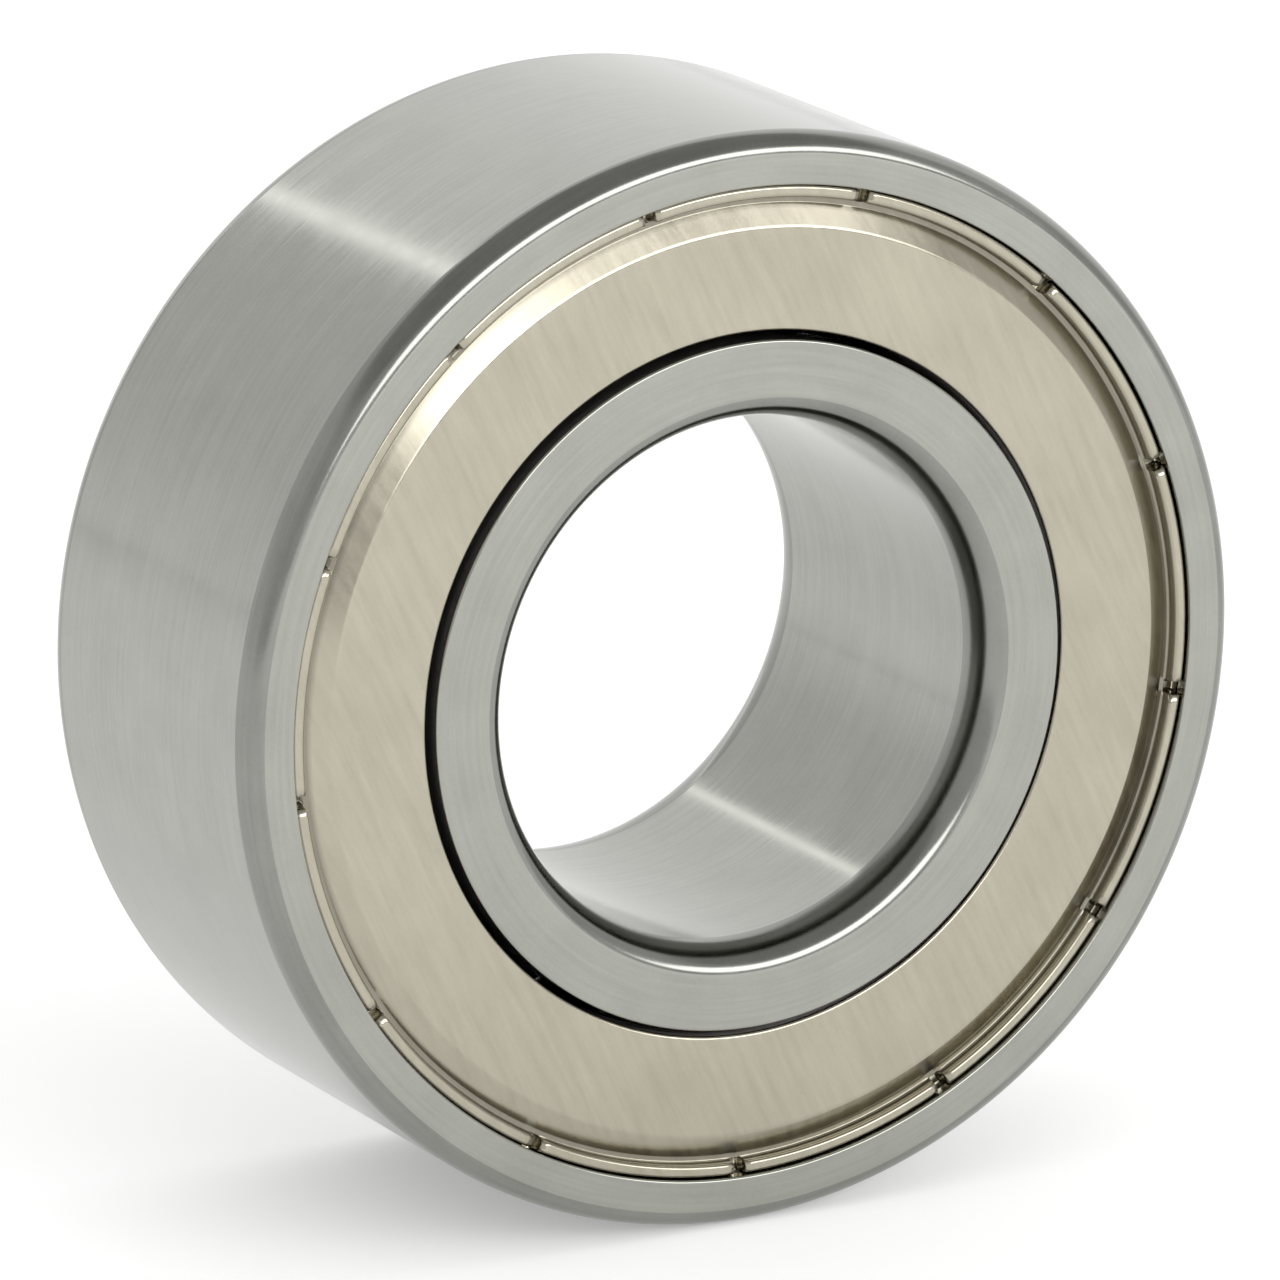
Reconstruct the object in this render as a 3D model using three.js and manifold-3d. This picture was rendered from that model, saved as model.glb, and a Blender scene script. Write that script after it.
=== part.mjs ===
// Double-row ball bearing, closed by a pressed sheet-metal shield on each side. Millimetres.
// The bearing's axis is the Y axis, +Z is up, and the origin is the middle of the bearing.
import * as THREE from 'three';
import { mergeVertices } from 'three/addons/utils/BufferGeometryUtils.js';
import Module from 'manifold-3d';

const wasm = await Module();
wasm.setup();

// Boundary sizes of the whole bearing.
const BORE_RADIUS = 12.5;
const OUTSIDE_RADIUS = 26;
const HALF_WIDTH = 10.3;
const CORNER_RADIAL = 0.95;
const CORNER_AXIAL = 1.3;
const BORE_CORNER_RADIAL = 1.3;
const BORE_CORNER_AXIAL = 2.2;
const EDGE_BREAK = 0.12;

// Balls: 5/16 inch, in two rows on the mean diameter of the bearing.
const BALL_RADIUS = 3.969;
const BALLS_PER_ROW = 10;
const PITCH_RADIUS = (BORE_RADIUS + OUTSIDE_RADIUS) / 2;
const ROW_OFFSET = 4.4;
const BACK_ROW_TURN = Math.PI / BALLS_PER_ROW;

// Raceways: each groove is an arc about the ball centre, a running clearance larger than the ball.
const GROOVE_RADIUS = BALL_RADIUS + 0.13;
const GROOVE_STEPS = 5;
const INNER_SHOULDER_RADIUS = 16.4;
const INNER_MIDDLE_RADIUS = 15.9;
const OUTER_SHOULDER_RADIUS = 22.3;
const OUTER_RIB_RADIUS = 21.6;

// Shield: depths are measured down from the bearing's side face.
const SHEET = 0.35;
const SHIELD_BORE_RADIUS = 16.86;
const SHIELD_DEPTH = 0.33;
const SHIELD_FLAT_RADIUS = 21.55;
const CHANNEL_DEPTH = 0.85;
const CHANNEL_INNER_RADIUS = 22.45;
const CHANNEL_OUTER_RADIUS = 22.75;
const RIM_INNER_RADIUS = 22.9;
const RIM_OUTER_RADIUS = 23.5;
const RIM_DEPTH = 0.25;
const RIM_BULGE = 0.2;
const HEM_DEPTH = 1.65;
const NOTCH_COUNT = 13;
const NOTCH_WIDTH = 0.55;
const NOTCH_START = THREE.MathUtils.degToRad(21.75);

// Seat in the outer ring that the shield's rim is rolled into.
const SEAT_LIP_RADIUS = 23.62;
const SEAT_GROOVE_RADIUS = 23.9;
const SEAT_LIP_DEPTH = 0.7;
const SHELF_DEPTH = 1.95;

// Cage: a crown with its closed ring towards the shield and its claws towards the middle.
const CAGE_INNER_RADIUS = 16.85;
const CAGE_OUTER_RADIUS = 21.2;
const CAGE_RING_HEIGHT = 9.15;
const CAGE_CLAW_HEIGHT = 2.8;
const CAGE_RELIEF_HEIGHT = 6;
const CAGE_RELIEF_WIDTH = 1.6;
const POCKET_RADIUS = BALL_RADIUS + 0.3;

// Every turned piece has this many flats. The radii are measured to the flats, one of which lies
// level at the bottom, so that the bearing stands on its rim.
const FLATS = 48;
const HALF_FLAT = Math.PI / FLATS;

const point = (radius, height) => new THREE.Vector2(radius, height);

// Points of an elliptical arc, with angles in radians from the outward radial direction.
function arc(centre, radial, axial, start, end, steps) {
  const points = [];
  for (let i = 0; i <= steps; i += 1) {
    const angle = start + ((end - start) * i) / steps;
    points.push(point(centre.x + radial * Math.cos(angle), centre.y + axial * Math.sin(angle)));
  }
  return points;
}

// A profile that is the same on both sides of the bearing's middle plane.
function mirrored(half) {
  const other = half.map((p) => point(p.x, -p.y)).reverse();
  return [...half, ...other];
}

// Turns a closed profile round the bearing's axis.
function turned(profile) {
  const stretch = 1 / Math.cos(HALF_FLAT);
  const outline = [...profile, profile[0]].map((p) => point(p.x * stretch, p.y));
  return new THREE.LatheGeometry(outline.reverse(), FLATS, HALF_FLAT);
}

function solid(geometry, matrix = new THREE.Matrix4()) {
  const plain = geometry.clone().applyMatrix4(matrix);
  plain.deleteAttribute('normal');
  plain.deleteAttribute('uv');
  const merged = mergeVertices(plain);
  const vertProperties = new Float32Array(merged.attributes.position.array);
  const triVerts = new Uint32Array(merged.index.array);
  return new wasm.Manifold(new wasm.Mesh({ numProp: 3, vertProperties, triVerts }));
}

function geometryOf(manifold) {
  const mesh = manifold.getMesh();
  const geometry = new THREE.BufferGeometry();
  geometry.setAttribute('position', new THREE.BufferAttribute(mesh.vertProperties, 3));
  geometry.setIndex(new THREE.BufferAttribute(mesh.triVerts, 1));
  return geometry;
}

// A tool at a given radius and height, turned round the axis and cut away at each of count places.
function cutAround(body, tool, radius, height, count, start) {
  let result = body;
  for (let i = 0; i < count; i += 1) {
    const place = new THREE.Matrix4().makeRotationY(-start - (i * 2 * Math.PI) / count);
    place.multiply(new THREE.Matrix4().makeTranslation(radius, height, 0));
    result = result.subtract(solid(tool, place));
  }
  return result;
}

// One raceway groove on the +Y side, from its edge near the middle plane to its outer edge.
// side is 1 for a groove in the outer ring and -1 for one in the inner ring.
function raceway(side, middleRadius, shoulderRadius) {
  const start = -Math.acos((side * (middleRadius - PITCH_RADIUS)) / GROOVE_RADIUS);
  const end = Math.acos((side * (shoulderRadius - PITCH_RADIUS)) / GROOVE_RADIUS);
  const centre = point(0, ROW_OFFSET);
  const groove = arc(centre, GROOVE_RADIUS, GROOVE_RADIUS, start, end, GROOVE_STEPS);
  return groove.map((p) => point(PITCH_RADIUS + side * p.x, p.y));
}

function outerRing() {
  const seat = HALF_WIDTH - SEAT_LIP_DEPTH;
  const shelf = HALF_WIDTH - SHELF_DEPTH;
  const slope = SEAT_GROOVE_RADIUS - SEAT_LIP_RADIUS;
  const corner = point(OUTSIDE_RADIUS - CORNER_RADIAL, HALF_WIDTH - CORNER_AXIAL);
  return turned(mirrored([
    ...raceway(1, OUTER_RIB_RADIUS, OUTER_SHOULDER_RADIUS),
    point(OUTER_SHOULDER_RADIUS, shelf),
    point(SEAT_GROOVE_RADIUS, shelf),
    point(SEAT_GROOVE_RADIUS, seat - slope),
    point(SEAT_LIP_RADIUS, seat),
    point(SEAT_LIP_RADIUS, HALF_WIDTH - EDGE_BREAK),
    point(SEAT_LIP_RADIUS + EDGE_BREAK, HALF_WIDTH),
    ...arc(corner, CORNER_RADIAL, CORNER_AXIAL, Math.PI / 2, 0, 3),
  ]));
}

function innerRing() {
  const corner = point(BORE_RADIUS + BORE_CORNER_RADIAL, HALF_WIDTH - BORE_CORNER_AXIAL);
  return turned(mirrored([
    ...arc(corner, BORE_CORNER_RADIAL, BORE_CORNER_AXIAL, Math.PI, Math.PI / 2, 4),
    point(INNER_SHOULDER_RADIUS - EDGE_BREAK, HALF_WIDTH),
    point(INNER_SHOULDER_RADIUS, HALF_WIDTH - EDGE_BREAK),
    ...raceway(-1, INNER_MIDDLE_RADIUS, INNER_SHOULDER_RADIUS).reverse(),
  ]));
}

// The shield of the +Y side: a flat sheet that slopes down to a narrow channel, and a folded rim
// round it. The rim is slit all round so that it spreads into the outer ring's seat.
function shield() {
  const top = HALF_WIDTH - SHIELD_DEPTH;
  const floor = HALF_WIDTH - CHANNEL_DEPTH;
  const rim = HALF_WIDTH - RIM_DEPTH;
  const bulge = HALF_WIDTH - SEAT_LIP_DEPTH - RIM_BULGE;
  const hem = HALF_WIDTH - HEM_DEPTH;
  const body = turned([
    point(SHIELD_BORE_RADIUS, top - SHEET),
    point(SHIELD_BORE_RADIUS, top),
    point(SHIELD_FLAT_RADIUS, top),
    point(CHANNEL_INNER_RADIUS, floor),
    point(CHANNEL_OUTER_RADIUS, floor),
    point(RIM_INNER_RADIUS, rim),
    point(RIM_OUTER_RADIUS, rim),
    point(RIM_OUTER_RADIUS, bulge),
    point(RIM_OUTER_RADIUS + RIM_BULGE, bulge - RIM_BULGE),
    point(RIM_OUTER_RADIUS, hem),
    point(CHANNEL_INNER_RADIUS, hem),
    point(CHANNEL_INNER_RADIUS, floor - SHEET),
    point(SHIELD_FLAT_RADIUS, top - SHEET),
  ]);
  const reach = 2 * (RIM_OUTER_RADIUS - RIM_INNER_RADIUS + RIM_BULGE);
  const notch = new THREE.BoxGeometry(reach, 2 * CHANNEL_DEPTH, NOTCH_WIDTH);
  const middle = CHANNEL_OUTER_RADIUS + reach / 2;
  const height = floor + CHANNEL_DEPTH;
  return geometryOf(cutAround(solid(body), notch, middle, height, NOTCH_COUNT, NOTCH_START));
}

// The cage of the +Y row: ball pockets open towards the middle plane, and a relief slot between
// each pair of neighbouring claws.
function cage() {
  const ring = turned([
    point(CAGE_INNER_RADIUS, CAGE_CLAW_HEIGHT),
    point(CAGE_INNER_RADIUS, CAGE_RING_HEIGHT),
    point(CAGE_OUTER_RADIUS, CAGE_RING_HEIGHT),
    point(CAGE_OUTER_RADIUS, CAGE_CLAW_HEIGHT),
  ]);
  const pocket = new THREE.SphereGeometry(POCKET_RADIUS, 12, 8);
  const width = 2 * (CAGE_OUTER_RADIUS - CAGE_INNER_RADIUS);
  const depth = 2 * (CAGE_RELIEF_HEIGHT - CAGE_CLAW_HEIGHT);
  const relief = new THREE.BoxGeometry(width, depth, CAGE_RELIEF_WIDTH);
  const between = Math.PI / BALLS_PER_ROW;
  const pocketed = cutAround(solid(ring), pocket, PITCH_RADIUS, ROW_OFFSET, BALLS_PER_ROW, 0);
  return geometryOf(
    cutAround(pocketed, relief, PITCH_RADIUS, CAGE_CLAW_HEIGHT, BALLS_PER_ROW, between),
  );
}

function piece(name, geometry, color, roughness, metalness) {
  const material = new THREE.MeshStandardMaterial({ color, roughness, metalness });
  const mesh = new THREE.Mesh(geometry, material);
  mesh.name = name;
  return mesh;
}

function ball(name, index) {
  const mesh = piece(name, new THREE.SphereGeometry(BALL_RADIUS, 12, 6), 0xd8dadc, 0.08, 1);
  const angle = (index * 2 * Math.PI) / BALLS_PER_ROW;
  mesh.position.set(PITCH_RADIUS * Math.cos(angle), ROW_OFFSET, PITCH_RADIUS * Math.sin(angle));
  return mesh;
}

// Everything that one side of the bearing holds between the rings: shield, cage and balls.
function side(name, rowTurn) {
  const row = new THREE.Group();
  row.rotation.y = -rowTurn;
  row.add(piece(`${name}_cage`, cage(), 0x3a3732, 0.55, 0));
  for (let i = 0; i < BALLS_PER_ROW; i += 1) {
    row.add(ball(`${name}_ball_${String(i + 1).padStart(2, '0')}`, i));
  }
  const group = new THREE.Group();
  group.add(piece(`${name}_shield`, shield(), 0xbebaa8, 0.35, 1), row);
  return group;
}

const bearing = new THREE.Group();
bearing.add(piece('outer_ring', outerRing(), 0xb4b5b4, 0.3, 1));
bearing.add(piece('inner_ring', innerRing(), 0xb4b5b4, 0.3, 1));
bearing.add(side('back', BACK_ROW_TURN));
const front = side('front', 0);
front.rotation.z = Math.PI;
bearing.add(front);

export default bearing;
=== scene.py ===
import math

import bmesh
import bpy
from mathutils import Matrix, Vector


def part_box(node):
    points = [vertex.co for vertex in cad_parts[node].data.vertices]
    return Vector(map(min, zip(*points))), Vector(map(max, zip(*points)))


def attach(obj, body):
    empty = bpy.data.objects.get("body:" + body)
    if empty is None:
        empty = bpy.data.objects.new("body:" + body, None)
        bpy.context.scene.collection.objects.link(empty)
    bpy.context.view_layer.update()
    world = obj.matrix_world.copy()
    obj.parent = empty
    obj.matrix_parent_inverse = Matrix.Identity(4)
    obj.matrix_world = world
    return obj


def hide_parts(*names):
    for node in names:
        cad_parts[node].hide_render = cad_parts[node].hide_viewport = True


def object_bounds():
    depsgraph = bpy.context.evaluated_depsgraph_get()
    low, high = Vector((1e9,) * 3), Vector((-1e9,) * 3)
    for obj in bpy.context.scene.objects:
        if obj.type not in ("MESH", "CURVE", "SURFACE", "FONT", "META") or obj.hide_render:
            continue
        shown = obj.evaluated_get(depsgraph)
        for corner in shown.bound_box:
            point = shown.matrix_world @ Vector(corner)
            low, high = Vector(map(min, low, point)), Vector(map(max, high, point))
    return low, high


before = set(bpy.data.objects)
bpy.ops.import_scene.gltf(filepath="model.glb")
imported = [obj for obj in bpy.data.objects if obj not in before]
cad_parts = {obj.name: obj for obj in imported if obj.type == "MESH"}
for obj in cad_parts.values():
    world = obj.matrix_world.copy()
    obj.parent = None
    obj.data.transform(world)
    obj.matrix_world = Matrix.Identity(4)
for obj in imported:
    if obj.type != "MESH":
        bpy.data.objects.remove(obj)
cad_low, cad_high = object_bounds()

# The visual model of a shielded double-row ball bearing. Its axis is Y, +Z is up, and the lengths
# in the outlines are millimetres, as on a drawing: MM turns them into the frame's metres.
MM = 0.001

OUTSIDE_RADIUS = cad_high.z / MM
HALF_WIDTH = cad_high.y / MM
BORE_RADIUS = 12.5
PITCH_RADIUS = (BORE_RADIUS + OUTSIDE_RADIUS) / 2
CORNER_RADIAL = 0.95
CORNER_AXIAL = 1.3
BORE_CORNER_RADIAL = 1.3
BORE_CORNER_AXIAL = 2.2
EDGE_BREAK = 0.12

BALL_RADIUS = 3.969
GROOVE_RADIUS = BALL_RADIUS + 0.13
INNER_SHOULDER_RADIUS = 16.4
INNER_MIDDLE_RADIUS = 15.9
OUTER_SHOULDER_RADIUS = 22.3
OUTER_RIB_RADIUS = 21.6
SEAT_LIP_RADIUS = 23.62
SEAT_GROOVE_RADIUS = 23.9
SEAT_LIP_DEPTH = 0.7
SHELF_DEPTH = 1.95

SHEET = 0.35
SHIELD_BORE_RADIUS = 16.76
SHIELD_DEPTH = 0.33
SHIELD_FLAT_RADIUS = 21.6
CHANNEL_DEPTH = 0.9
CHANNEL_INNER_RADIUS = 22.68
RIM_INNER_RADIUS = 22.98
RIM_OUTER_RADIUS = 23.57
RIM_DEPTH = 0.25
HEM_DEPTH = 1.65
NOTCH_COUNT = 13
NOTCH_WIDTH = 0.55
SLIT_DROP = 0.35
NOTCH_START = math.radians(21.75)

CAGE_INNER_RADIUS = 16.85
CAGE_OUTER_RADIUS = 21.2
CAGE_RING_HEIGHT = 9.15
CAGE_CLAW_HEIGHT = 2.8
CAGE_RELIEF_HEIGHT = 6.0
CAGE_RELIEF_WIDTH = 1.6
POCKET_CLEARANCE = 0.2

# The row of balls on the +Y side, read from the frame.
ball_low, ball_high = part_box("back_ball_01")
ROW_OFFSET = (ball_low.y + ball_high.y) / 2 / MM
BALLS_PER_ROW = sum(node.startswith("back_ball_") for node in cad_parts)
BACK_ROW_TURN = math.atan2(ball_low.z + ball_high.z, ball_low.x + ball_high.x)

# Slits, in half widths: where a slit's sides start, and how far they take to go down.
SLIT_REACH = 1.25
SLIT_EASE = 0.45

# Meshing: columns round a turned piece, and the distance of the points that support a flat span.
COLUMNS = 384
SUPPORT = 0.03
FLAT_DEPTH = 0.004

# Camera: azimuth 0 looks along +Y; the distances are in outside radii.
CAMERA_AZIMUTH = math.radians(-28.64)
CAMERA_ELEVATION = math.radians(15.39)
CAMERA_DISTANCE = 20.124
CAMERA_RIGHT = -0.0091
CAMERA_UP = -0.0075
LENS = 314.1

# Light: GLOW and the wall and ceiling values are radiances, where paper white is about 1. Places
# and sizes are metres, and STRIP_AT is the sideways part of the direction to the bright strip.
FRONT_WALL = 0.75
BACK_WALL_FOOT = 1.08
BACK_WALL_LEFT = 0.87
BACK_WALL_RIGHT = 1.15
STRIP_AT = -0.073
STRIP_GLOW = 1.9
STRIP_CORE = 0.006
STRIP_FADE = 0.024
CEILING = 0.45
CEILING_START = 0.61
CEILING_FULL = 0.70
OVERHEAD_GLOW = 0.56
OVERHEAD_SIZE = 2.4
OVERHEAD_HEIGHT = 1.1
LIGHT_TABLE = 0.26
PAPER = 0.8
FLOOR_SIZE = 3.0
KEY_GLOW = 3.8
KEY_PLACE = (0.24, -0.88, 0.39)
KEY_WIDTH = 1.15
KEY_HEIGHT = 0.42


# Outlines: closed lists of (radius, height) points in the half plane beside the axis.

def arc(radius, height, radial, axial, start, end, steps):
    """Points of an elliptical arc about (radius, height), at angles in degrees from outward."""
    points = []
    for i in range(steps + 1):
        angle = math.radians(start + (end - start) * i / steps)
        points.append((radius + radial * math.cos(angle), height + axial * math.sin(angle)))
    return points


def supported(outline):
    """The closed outline with a point close to each end of every long span, so it shades flat."""
    points = []
    for (r0, h0), (r1, h1) in zip(outline, outline[1:] + outline[:1]):
        points.append((r0, h0))
        length = math.hypot(r1 - r0, h1 - h0)
        if length > 6 * SUPPORT:
            for share in (SUPPORT / length, 1 - SUPPORT / length):
                points.append((r0 + (r1 - r0) * share, h0 + (h1 - h0) * share))
    return points


def mirrored(half):
    """A half outline (heights above 0) joined with its mirror image below the middle plane."""
    return half + [(r, -h) for r, h in reversed(half)]


def raceway(side, middle_radius, shoulder_radius):
    """A raceway groove of the +Y row; side is 1 in the outer ring and -1 in the inner ring."""
    row = ROW_OFFSET
    start = -math.acos(side * (middle_radius - PITCH_RADIUS) / GROOVE_RADIUS)
    end = math.acos(side * (shoulder_radius - PITCH_RADIUS) / GROOVE_RADIUS)
    steps = 20
    angles = [start + (end - start) * i / steps for i in range(steps + 1)]
    return [(PITCH_RADIUS + side * GROOVE_RADIUS * math.cos(a), row + GROOVE_RADIUS * math.sin(a))
            for a in angles]


def outer_ring_outline():
    seat = HALF_WIDTH - SEAT_LIP_DEPTH
    shelf = HALF_WIDTH - SHELF_DEPTH
    slope = SEAT_GROOVE_RADIUS - SEAT_LIP_RADIUS
    lip = SEAT_LIP_RADIUS + EDGE_BREAK
    return mirrored(
        raceway(1, OUTER_RIB_RADIUS, OUTER_SHOULDER_RADIUS)
        + [(OUTER_SHOULDER_RADIUS, shelf), (SEAT_GROOVE_RADIUS, shelf),
           (SEAT_GROOVE_RADIUS, seat - slope), (SEAT_LIP_RADIUS, seat)]
        + arc(lip, HALF_WIDTH - EDGE_BREAK, EDGE_BREAK, EDGE_BREAK, 180, 90, 5)
        + arc(OUTSIDE_RADIUS - CORNER_RADIAL, HALF_WIDTH - CORNER_AXIAL,
              CORNER_RADIAL, CORNER_AXIAL, 90, 0, 16))


def inner_ring_outline():
    edge = INNER_SHOULDER_RADIUS - EDGE_BREAK
    return mirrored(
        arc(BORE_RADIUS + BORE_CORNER_RADIAL, HALF_WIDTH - BORE_CORNER_AXIAL,
            BORE_CORNER_RADIAL, BORE_CORNER_AXIAL, 180, 90, 20)
        + arc(edge, HALF_WIDTH - EDGE_BREAK, EDGE_BREAK, EDGE_BREAK, 90, 0, 5)
        + list(reversed(raceway(-1, INNER_MIDDLE_RADIUS, INNER_SHOULDER_RADIUS))))


def shield_outline():
    """The pressed sheet of the +Y side: top surface outward from the bore, then back underneath."""
    top = HALF_WIDTH - SHIELD_DEPTH
    floor = HALF_WIDTH - CHANNEL_DEPTH
    rim = HALF_WIDTH - RIM_DEPTH
    hem = HALF_WIDTH - HEM_DEPTH
    seat = HALF_WIDTH - SEAT_LIP_DEPTH
    half_sheet = SHEET / 2
    slope = math.degrees(math.atan2(top - floor, CHANNEL_INNER_RADIUS - SHIELD_FLAT_RADIUS))
    shoulder, bend, crown = 0.4, 0.14, 0.2
    inset = math.tan(math.radians(slope / 2))
    surface = (
        arc(SHIELD_BORE_RADIUS + half_sheet, top - half_sheet, half_sheet, half_sheet, 180, 90, 6)
        + arc(SHIELD_FLAT_RADIUS - shoulder * inset, top - shoulder, shoulder, shoulder,
              90, 90 - slope, 6)
        + arc(CHANNEL_INNER_RADIUS + bend * inset, floor + bend, bend, bend,
              270 - slope, 270, 3)
        + arc(RIM_INNER_RADIUS - bend, floor + bend, bend, bend, 270, 360, 5)
        + arc(RIM_INNER_RADIUS + crown, rim - crown, crown, crown, 180, 90, 7)
        + arc(RIM_OUTER_RADIUS - crown, rim - crown, crown, crown, 90, 0, 7))
    under = [
        (RIM_OUTER_RADIUS, seat - 0.1),
        (SEAT_GROOVE_RADIUS - 0.12, seat - 0.4),
        (RIM_OUTER_RADIUS, hem),
        (CHANNEL_INNER_RADIUS, hem),
        (CHANNEL_INNER_RADIUS, floor - SHEET),
        (SHIELD_FLAT_RADIUS, top - SHEET)]
    return surface + under


def cage_outline():
    """The section of the +Y cage before its pockets are cut, with rounded corners."""
    corners = [(CAGE_OUTER_RADIUS, CAGE_RING_HEIGHT, 0),
               (CAGE_INNER_RADIUS, CAGE_RING_HEIGHT, 90),
               (CAGE_INNER_RADIUS, CAGE_CLAW_HEIGHT, 180),
               (CAGE_OUTER_RADIUS, CAGE_CLAW_HEIGHT, 270)]
    rounding = 0.25
    outline = []
    for radius, height, start in corners:
        inward = -rounding if radius == CAGE_OUTER_RADIUS else rounding
        down = -rounding if height == CAGE_RING_HEIGHT else rounding
        outline += arc(radius + inward, height + down, rounding, rounding,
                       start, start + 90, 4)
    return outline


# Meshes.

def mesh_object(name, mesh, materials):
    piece = bpy.data.objects.new(name, mesh)
    bpy.context.scene.collection.objects.link(piece)
    for material in materials:
        mesh.materials.append(material)
    return piece


def lathe(name, outline, materials, band=lambda radius, height: 0, angles=None, dip=None):
    """A closed outline turned round the Y axis. band gives the material index at a place on the
    outline, and dip(angle, radius, height) the height that a point has at an angle."""
    rows = supported(outline)
    angles = angles or [2 * math.pi * i / COLUMNS for i in range(COLUMNS)]
    build = bmesh.new()
    grid = []
    for angle in angles:
        column = []
        for radius, height in rows:
            y = dip(angle, radius, height) if dip else height
            place = Vector((radius * math.cos(angle), y, radius * math.sin(angle)))
            column.append(build.verts.new(place * MM))
        grid.append(column)
    for left, right in zip(grid, grid[1:] + grid[:1]):
        for i, (radius, height) in enumerate(rows):
            j = (i + 1) % len(rows)
            face = build.faces.new((left[i], left[j], right[j], right[i]))
            face.smooth = True
            face.material_index = band((radius + rows[j][0]) / 2, (height + rows[j][1]) / 2)
    bmesh.ops.recalc_face_normals(build, faces=build.faces)
    mesh = bpy.data.meshes.new(name)
    build.to_mesh(mesh)
    build.free()
    return mesh_object(name, mesh, materials)


def place(piece, body, node, slot):
    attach(piece, body)
    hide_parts(node)


# Materials. Every surface has its own procedural finish in object coordinates.

class Nodes:
    """A short way to write a node tree: each call adds a node and returns its first output."""

    def __init__(self, owner):
        self.material = owner
        self.tree = owner.node_tree

    @classmethod
    def finishing(cls, name):
        """The tree of a new material."""
        material = bpy.data.materials.new(name)
        material.use_nodes = True
        made = cls(material)
        made.shader = made.tree.nodes["Principled BSDF"]
        return made

    def node(self, kind, inputs=(), **settings):
        made = self.tree.nodes.new(kind)
        for key, value in settings.items():
            setattr(made, key, value)
        for key, value in dict(inputs).items():
            self.put(made.inputs[key], value)
        return made

    def put(self, socket, value):
        if isinstance(value, bpy.types.NodeSocket):
            self.tree.links.new(value, socket)
        else:
            socket.default_value = value

    def math(self, operation, a, b=0.0, c=0.0):
        return self.node("ShaderNodeMath", {0: a, 1: b, 2: c}, operation=operation).outputs[0]

    def noise(self, vector, scale, detail=2.0, roughness=0.5):
        made = self.node("ShaderNodeTexNoise", {"Vector": vector, "Scale": scale, "Detail": detail,
                                                "Roughness": roughness})
        return made.outputs["Fac"]

    def span(self, value, low, high, start=0.0, end=1.0):
        made = self.node("ShaderNodeMapRange", {"Value": value, "From Min": start, "From Max": end,
                                                "To Min": low, "To Max": high})
        return made.outputs["Result"]

    def vector(self, x, y, z):
        return self.node("ShaderNodeCombineXYZ", {0: x, 1: y, 2: z}).outputs[0]

    def mix(self, share, dark, light, strength=None):
        """A colour between dark and light, made darker where strength is below 1."""
        made = self.node("ShaderNodeMix", {0: share}, data_type="RGBA")
        self.put(made.inputs[6], (*dark, 1.0))
        self.put(made.inputs[7], (*light, 1.0))
        if strength is None:
            return made.outputs[2]
        scaled = self.node("ShaderNodeVectorMath", {0: made.outputs[2], 3: strength},
                           operation="SCALE")
        return scaled.outputs[0]

    def coordinates(self):
        """Object coordinates in millimetres: the vector, x, y, z and the distance from the axis."""
        coordinates = self.node("ShaderNodeTexCoord").outputs["Object"]
        scaled = self.node("ShaderNodeVectorMath", {0: coordinates, 3: 1 / MM}, operation="SCALE")
        parts = self.node("ShaderNodeSeparateXYZ", {0: scaled.outputs[0]}).outputs
        squares = self.math("ADD", self.math("MULTIPLY", parts[0], parts[0]),
                            self.math("MULTIPLY", parts[2], parts[2]))
        return scaled.outputs[0], parts[0], parts[1], parts[2], self.math("SQRT", squares)

    def bump(self, height, strength, distance):
        made = self.node("ShaderNodeBump", {"Strength": strength, "Distance": distance * MM,
                                            "Height": height})
        self.put(self.shader.inputs["Normal"], made.outputs[0])

    def finish(self, **values):
        for key, value in values.items():
            self.put(self.shader.inputs[key.replace("_", " ")], value)
        return self.material


def ground_steel(name, dark, light, roughness, line_height, lines_per_mm):
    """Steel ground on a turning machine: fine lines round the axis, and faint uneven patches."""
    n = Nodes.finishing(name)
    whole, x, y, z, radius = n.coordinates()
    track = n.math("ADD", n.math("MULTIPLY", radius, lines_per_mm),
                   n.math("MULTIPLY", y, lines_per_mm))
    along = n.vector(track, n.math("MULTIPLY", x, 0.12), n.math("MULTIPLY", z, 0.12))
    lines = n.noise(along, 1.0, 3.0, 0.6)
    patches = n.noise(whole, 0.35, 3.0, 0.55)
    grain = n.noise(whole, 6.0, 2.0, 0.6)
    share = n.math("ADD", n.math("MULTIPLY", lines, 0.45),
                   n.math("ADD", n.math("MULTIPLY", patches, 0.35), n.math("MULTIPLY", grain, 0.2)))
    n.bump(lines, 0.25, line_height)
    return n.finish(
        Base_Color=n.mix(n.span(share, 0.0, 1.0, 0.3, 0.7), dark, light),
        Metallic=1.0,
        Roughness=n.span(share, roughness - 0.05, roughness + 0.06, 0.3, 0.7))


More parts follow.
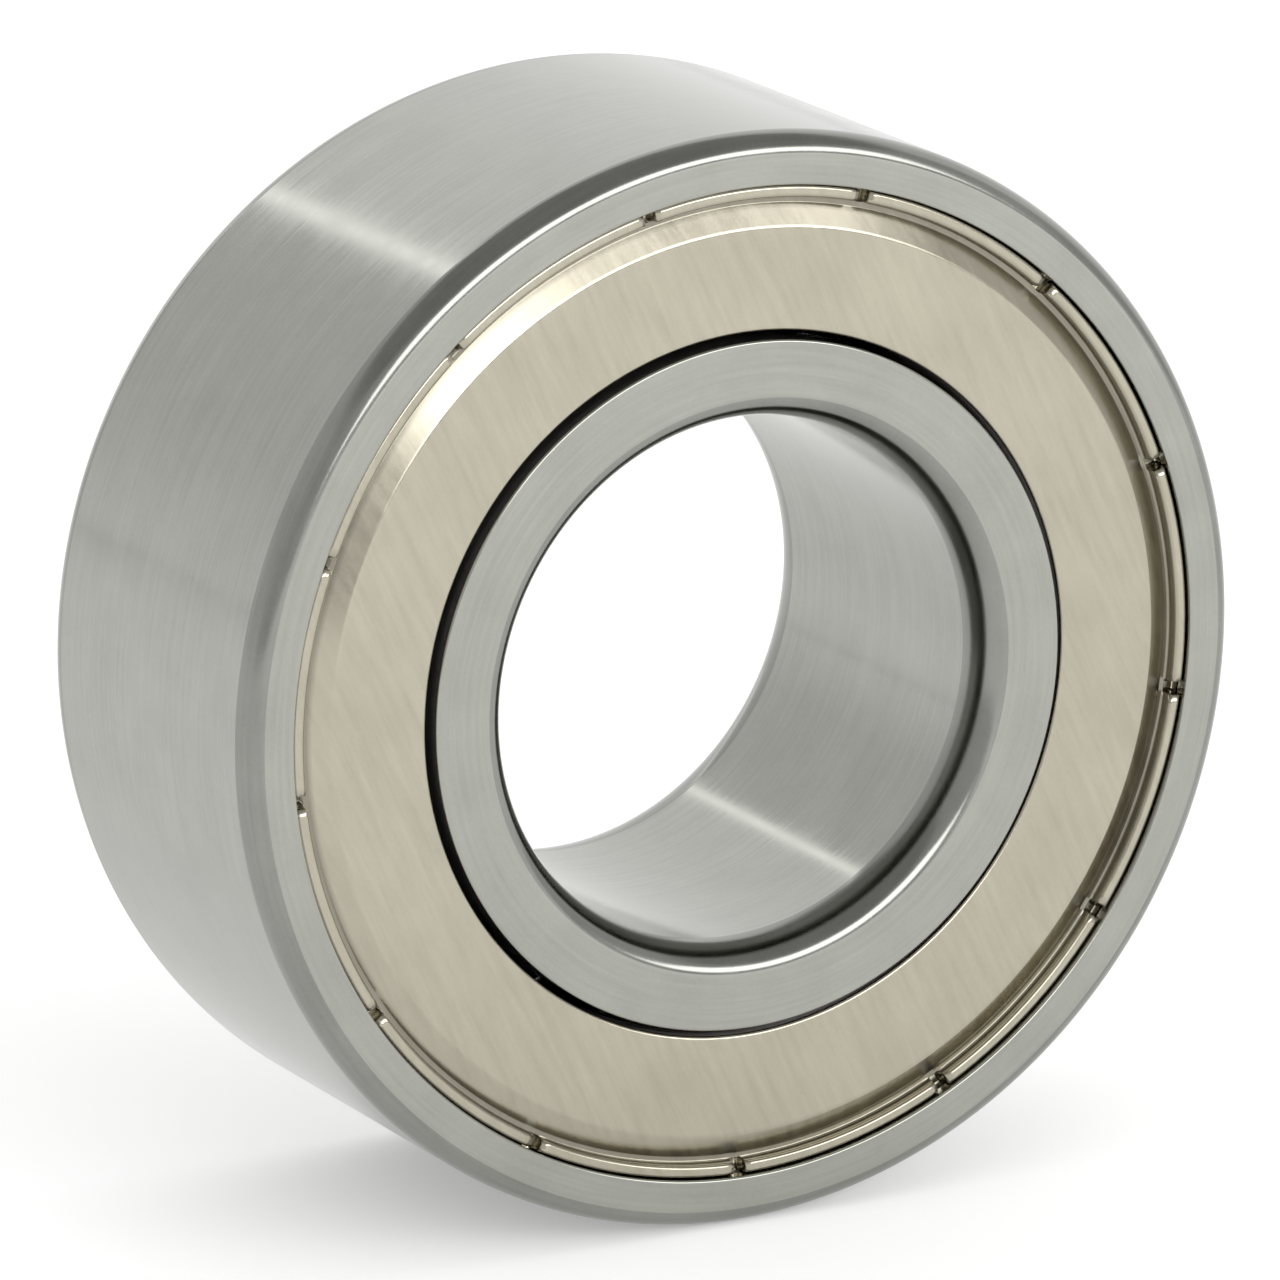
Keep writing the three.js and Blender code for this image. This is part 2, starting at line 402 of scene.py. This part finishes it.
def shield_sheet():
    """Cold-rolled sheet with a warm tint: slanting rolling streaks, a fine grain, and painted shade
    with an oil film along the channel floor.
    """
    n = Nodes.finishing("shield_sheet")
    whole, x, y, z, radius = n.coordinates()
    slant = math.radians(65)
    across = n.math("ADD", n.math("MULTIPLY", x, math.sin(slant)),
                    n.math("MULTIPLY", z, math.cos(slant)))
    along = n.math("SUBTRACT", n.math("MULTIPLY", z, math.sin(slant)),
                   n.math("MULTIPLY", x, math.cos(slant)))
    streaks = n.noise(n.vector(n.math("MULTIPLY", across, 2.2), n.math("MULTIPLY", along, 0.18), y),
                      1.0, 3.0, 0.6)
    patches = n.noise(whole, 0.25, 2.0, 0.5)
    grain = n.noise(whole, 9.0, 2.0, 0.6)
    share = n.math("ADD", n.math("MULTIPLY", streaks, 0.5),
                   n.math("ADD", n.math("MULTIPLY", patches, 0.3), n.math("MULTIPLY", grain, 0.2)))
    n.bump(n.math("ADD", streaks, n.math("MULTIPLY", grain, 0.4)), 0.3, 0.003)
    # Painted shade, together with an oil film: the colour falls to 0.6 within 0.12 mm of the
    # channel floor's radius and is back to full 0.4 mm away, standing in for the shade in the
    # channel.
    from_middle = n.math("ABSOLUTE", n.math("SUBTRACT", radius, CHANNEL_INNER_RADIUS + 0.1))
    oil_and_shade = n.span(from_middle, 0.6, 1.0, 0.12, 0.4)
    return n.finish(
        Base_Color=n.mix(n.span(share, 0.0, 1.0, 0.32, 0.68),
                         (0.372, 0.345, 0.275), (0.462, 0.433, 0.348), oil_and_shade),
        Metallic=1.0,
        Roughness=n.span(share, 0.16, 0.26, 0.3, 0.7))


def ball_steel():
    """Lapped balls: near-mirror steel with the faintest cloudiness."""
    n = Nodes.finishing("ball_steel")
    whole = n.coordinates()[0]
    cloud = n.noise(whole, 1.5, 3.0, 0.5)
    return n.finish(
        Base_Color=n.mix(cloud, (0.70, 0.71, 0.72), (0.78, 0.79, 0.80)),
        Metallic=1.0,
        Roughness=n.span(cloud, 0.04, 0.10))


def cage_polyamide():
    """Glass-filled polyamide: dark, with pale fibre flow lines and a slightly rough skin."""
    n = Nodes.finishing("cage_polyamide")
    whole, x, y, z, radius = n.coordinates()
    flow = n.noise(n.vector(n.math("MULTIPLY", radius, 3.0), x, n.math("ADD", z, y)), 0.8, 4.0, 0.6)
    skin = n.noise(whole, 12.0, 2.0, 0.6)
    n.bump(n.math("ADD", flow, skin), 0.3, 0.01)
    return n.finish(
        Base_Color=n.mix(flow, (0.10, 0.093, 0.086), (0.20, 0.187, 0.172)),
        Roughness=n.span(skin, 0.45, 0.65))


# Pieces.

# A ring's material slots: ground faces, rounded corners, and the side that faces the balls.
FACE, CORNER, HIDDEN = range(3)


def ring_band(near, far):
    """Material index on a ring: corners, ground outsides, and the raceway between near and far."""
    def band(radius, height):
        if near < radius < far and abs(height) < HALF_WIDTH - EDGE_BREAK:
            return HIDDEN
        depth = HALF_WIDTH - abs(height)
        outer = radius > OUTSIDE_RADIUS - CORNER_RADIAL and depth < CORNER_AXIAL
        inner = radius < BORE_RADIUS + BORE_CORNER_RADIAL and depth < BORE_CORNER_AXIAL
        return CORNER if (outer or inner) and depth > FLAT_DEPTH else FACE
    return band


def rings():
    face = ground_steel("ring_steel", (0.305, 0.310, 0.280), (0.382, 0.387, 0.351),
                        roughness=0.14, line_height=0.002, lines_per_mm=5.0)
    corner = ground_steel("corner_steel", (0.215, 0.217, 0.200), (0.290, 0.292, 0.270),
                          roughness=0.18, line_height=0.003, lines_per_mm=3.0)
    track = ground_steel("raceway_steel", (0.50, 0.50, 0.50), (0.58, 0.58, 0.58),
                         roughness=0.14, line_height=0.002, lines_per_mm=8.0)
    finishes = [face, corner, track]
    outer_band = ring_band(20, SEAT_GROOVE_RADIUS + 0.01)
    outer = lathe("outer_ring_visual", outer_ring_outline(), finishes, outer_band)
    place(outer, "root", "outer_ring", "ring_steel")
    inner_band = ring_band(15, INNER_SHOULDER_RADIUS + 0.01)
    inner = lathe("inner_ring_visual", inner_ring_outline(), finishes, inner_band)
    place(inner, "inner_ring", "inner_ring", "ring_steel")


def notch_angles(start):
    """Columns round a shield: close together at the sides of each slit and even in between."""
    half = NOTCH_WIDTH / 2 / RIM_INNER_RADIUS
    near = [-SLIT_REACH, -1.08, -0.95, -0.8, -0.4, 0, 0.4, 0.8, 0.95, 1.08, SLIT_REACH]
    pitch = 2 * math.pi / NOTCH_COUNT
    plain = 26
    angles = []
    for k in range(NOTCH_COUNT):
        centre = start + k * pitch
        angles += [centre + share * half for share in near]
        first, last = near[-1] * half, pitch + near[0] * half
        angles += [centre + first + (last - first) * i / plain for i in range(1, plain)]
    return angles


def notch_dip(start):
    """How the slits lower the folded rim: to SLIT_DROP under the channel floor, rounded at their
    sides."""
    floor = HALF_WIDTH - CHANNEL_DEPTH
    half = NOTCH_WIDTH / 2 / RIM_INNER_RADIUS
    pitch = 2 * math.pi / NOTCH_COUNT

    def dip(angle, radius, height):
        if radius < RIM_INNER_RADIUS - 0.03 or height < floor:
            return height
        offset = abs((angle - start + pitch / 2) % pitch - pitch / 2) / half
        open_share = min(1.0, max(0.0, (SLIT_REACH - offset) / SLIT_EASE))
        smooth = open_share * open_share * (3 - 2 * open_share)
        return height - (height - floor + SLIT_DROP) * smooth
    return dip


def shields(sheet):
    for side in ("front", "back"):
        piece = lathe(f"{side}_shield_visual", shield_outline(), [sheet],
                      angles=notch_angles(NOTCH_START), dip=notch_dip(NOTCH_START))
        if side == "front":
            piece.data.transform(Matrix.Rotation(math.pi, 4, "Z"))
        place(piece, "root", f"{side}_shield", "shield_sheet")


def balls(steel):
    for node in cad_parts:
        if "_ball_" not in node:
            continue
        low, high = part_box(node)
        build = bmesh.new()
        bmesh.ops.create_icosphere(build, subdivisions=5, radius=BALL_RADIUS * MM)
        for face in build.faces:
            face.smooth = True
        mesh = bpy.data.meshes.new(node)
        build.to_mesh(mesh)
        build.free()
        mesh.transform(Matrix.Translation((low + high) / 2))
        place(mesh_object(f"{node}_visual", mesh, [steel]), node, node, "ball_steel")


def cut(piece, tools):
    """Takes the tools away from the piece for good, and smooths it between its sharp edges."""
    modifier = piece.modifiers.new("cut", "BOOLEAN")
    modifier.object = tools
    modifier.operation = "DIFFERENCE"
    modifier.solver = "EXACT"
    evaluated = piece.evaluated_get(bpy.context.evaluated_depsgraph_get())
    carved = bpy.data.meshes.new_from_object(evaluated)
    piece.modifiers.clear()
    piece.data = carved
    bpy.data.objects.remove(tools)
    for face in carved.polygons:
        face.use_smooth = True
    carved.set_sharp_from_angle(angle=math.radians(40))


def cages(polyamide):
    """Crown cages: round pockets that open towards the middle, and a slot between the claws."""
    pocket = (BALL_RADIUS + POCKET_CLEARANCE) * MM
    width = 2 * (CAGE_OUTER_RADIUS - CAGE_INNER_RADIUS)
    depth = 2 * (CAGE_RELIEF_HEIGHT - CAGE_CLAW_HEIGHT)
    size = Matrix.Diagonal(Vector((width, depth, CAGE_RELIEF_WIDTH)) * MM).to_4x4()
    reach = Matrix.Translation(Vector((PITCH_RADIUS, CAGE_CLAW_HEIGHT, 0)) * MM)
    for side, turn in (("front", 0.0), ("back", BACK_ROW_TURN)):
        piece = lathe(f"{side}_cage_visual", cage_outline(), [polyamide])
        build = bmesh.new()
        for i in range(BALLS_PER_ROW):
            angle = turn + i * 2 * math.pi / BALLS_PER_ROW
            spot = Vector((PITCH_RADIUS * math.cos(angle), ROW_OFFSET,
                           PITCH_RADIUS * math.sin(angle)))
            bmesh.ops.create_icosphere(build, subdivisions=5, radius=pocket,
                                       matrix=Matrix.Translation(spot * MM))
            between = Matrix.Rotation(-angle - math.pi / BALLS_PER_ROW, 4, "Y")
            bmesh.ops.create_cube(build, size=1.0, matrix=between @ reach @ size)
        mesh = bpy.data.meshes.new("cage_tools")
        build.to_mesh(mesh)
        build.free()
        cut(piece, mesh_object("cage_tools", mesh, []))
        if side == "front":
            piece.data.transform(Matrix.Rotation(math.pi, 4, "Z"))
        place(piece, f"{side}_cage", f"{side}_cage", "cage_polyamide")


def shine():
    """The studio: a grey wall in front, two pale walls behind that meet in a bright strip, and a
    dark ceiling."""
    world = bpy.data.worlds.new("studio")
    bpy.context.scene.world = world
    world.use_nodes = True
    n = Nodes(world)
    background = world.node_tree.nodes["Background"]
    way = n.node("ShaderNodeTexCoord").outputs["Generated"]
    x, y, z = n.node("ShaderNodeSeparateXYZ", {0: way}).outputs
    behind = n.span(y, 0.0, 1.0, -0.1, 0.1)
    left = n.span(z, BACK_WALL_FOOT, BACK_WALL_LEFT, 0.0, 0.25)
    right = n.span(x, left, BACK_WALL_RIGHT, STRIP_AT - 0.02, STRIP_AT + 0.02)
    off = n.math("ABSOLUTE", n.math("SUBTRACT", x, STRIP_AT))
    strip = n.span(off, STRIP_GLOW, 0.0, STRIP_CORE, STRIP_FADE)
    back = n.math("ADD", right, strip)
    walls = n.math("ADD", n.math("MULTIPLY", behind, back),
                   n.math("MULTIPLY", n.math("SUBTRACT", 1.0, behind), FRONT_WALL))
    ceiling = n.span(z, 0.0, 1.0, CEILING_START, CEILING_FULL)
    glow = n.math("ADD", n.math("MULTIPLY", n.math("SUBTRACT", 1.0, ceiling), walls),
                  n.math("MULTIPLY", ceiling, CEILING))
    n.put(background.inputs["Strength"], glow)
    n.put(background.inputs["Color"], (1.0, 1.0, 1.0, 1.0))


def softbox(name, place_at, width, height, radiance, mirrored=True):
    """A rectangular area light of even brightness, facing the bearing. Without mirrored it lights
    things but doesn't show in them."""
    light = bpy.data.lights.new(name, "AREA")
    light.shape = "RECTANGLE"
    light.size = width
    light.size_y = height
    light.energy = radiance * math.pi * width * height
    lamp = bpy.data.objects.new(name, light)
    lamp.location = place_at
    lamp.rotation_euler = (-Vector(place_at)).to_track_quat("-Z", "Y").to_euler()
    lamp.visible_glossy = mirrored
    bpy.context.scene.collection.objects.link(lamp)


def floor():
    build = bmesh.new()
    bmesh.ops.create_grid(build, x_segments=1, y_segments=1, size=FLOOR_SIZE)
    mesh = bpy.data.meshes.new("floor")
    build.to_mesh(mesh)
    build.free()
    mesh.transform(Matrix.Translation((0, 0, cad_low.z)))
    paper = Nodes.finishing("floor_paper")
    material = paper.finish(Base_Color=(PAPER, PAPER, PAPER, 1.0), Roughness=0.9,
                            Emission_Color=(1.0, 1.0, 1.0, 1.0), Emission_Strength=LIGHT_TABLE)
    mesh_object("floor", mesh, [material])


def camera():
    radius = OUTSIDE_RADIUS * MM
    back = Vector((math.sin(CAMERA_AZIMUTH) * math.cos(CAMERA_ELEVATION),
                   -math.cos(CAMERA_AZIMUTH) * math.cos(CAMERA_ELEVATION),
                   math.sin(CAMERA_ELEVATION)))
    turn = (-back).to_track_quat("-Z", "Y")
    data = bpy.data.cameras.new("camera")
    data.lens = LENS
    data.sensor_width = 36.0
    data.clip_end = 10.0
    eye = bpy.data.objects.new("camera", data)
    offset = turn @ Vector((CAMERA_RIGHT, CAMERA_UP, 0.0))
    eye.location = (back * CAMERA_DISTANCE + offset) * radius
    eye.rotation_mode = "QUATERNION"
    eye.rotation_quaternion = turn
    bpy.context.scene.collection.objects.link(eye)
    bpy.context.scene.camera = eye


camera()
floor()
shine()
softbox("overhead", (0.0, 0.0, OVERHEAD_HEIGHT), OVERHEAD_SIZE, OVERHEAD_SIZE, OVERHEAD_GLOW,
        mirrored=False)
softbox("front_card", KEY_PLACE, KEY_WIDTH, KEY_HEIGHT, KEY_GLOW)
rings()
shields(shield_sheet())
balls(ball_steel())
cages(cage_polyamide())
bpy.context.scene.view_settings.view_transform = "Standard"
